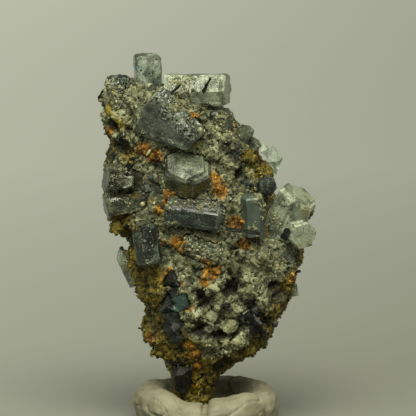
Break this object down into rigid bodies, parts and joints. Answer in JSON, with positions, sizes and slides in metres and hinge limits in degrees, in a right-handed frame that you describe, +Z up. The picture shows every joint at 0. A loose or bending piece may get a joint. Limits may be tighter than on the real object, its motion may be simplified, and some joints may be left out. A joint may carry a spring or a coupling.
{
  "type": "mineral specimen on putty",
  "caption": "Blue-grey aquamarine prisms with black schorl and teal fluorite on a pale mica and feldspar rock, standing on a ring of display putty.",
  "frame": {"origin": "middle of the bounding box's underside, on the flat underside of the putty ring", "axes": "+Z up along the specimen's height, +X to the right of its front, +Y away from the front"},
  "size_m": [0.0546, 0.0368, 0.0935],
  "materials": {
    "matrix": "matte",
    "aquamarine": "glossy",
    "fluorite": "glossy",
    "schorl": "glossy",
    "putty": "matte"
  },
  "bodies": {
    "root": {"matrix": "matrix", "aquamarine_top": "aquamarine", "aquamarine_upper_left": "aquamarine", "aquamarine_block": "aquamarine", "aquamarine_under_block": "aquamarine", "aquamarine_diagonal": "aquamarine", "aquamarine_centre": "aquamarine", "aquamarine_left_group": "aquamarine", "aquamarine_middle": "aquamarine", "aquamarine_slate": "aquamarine", "aquamarine_lower_middle": "aquamarine", "aquamarine_right_group": "aquamarine", "aquamarine_right_shoulder": "aquamarine", "aquamarine_right_small": "aquamarine", "aquamarine_lower_left": "aquamarine", "aquamarine_left_blade": "aquamarine", "aquamarine_back_upper": "aquamarine", "aquamarine_back_lower": "aquamarine", "fluorite_right": "fluorite", "fluorite_back": "fluorite", "fluorite_cluster": "fluorite", "schorl_needle_hollow": "schorl", "schorl_needle_block": "schorl", "schorl_needle_knob": "schorl", "schorl_bar": "schorl", "schorl_left_prism": "schorl", "schorl_lower_right": "schorl", "schorl_foot": "schorl", "schorl_right": "schorl", "schorl_back": "schorl", "putty_ring": "putty"}
  },
  "joints": []
}
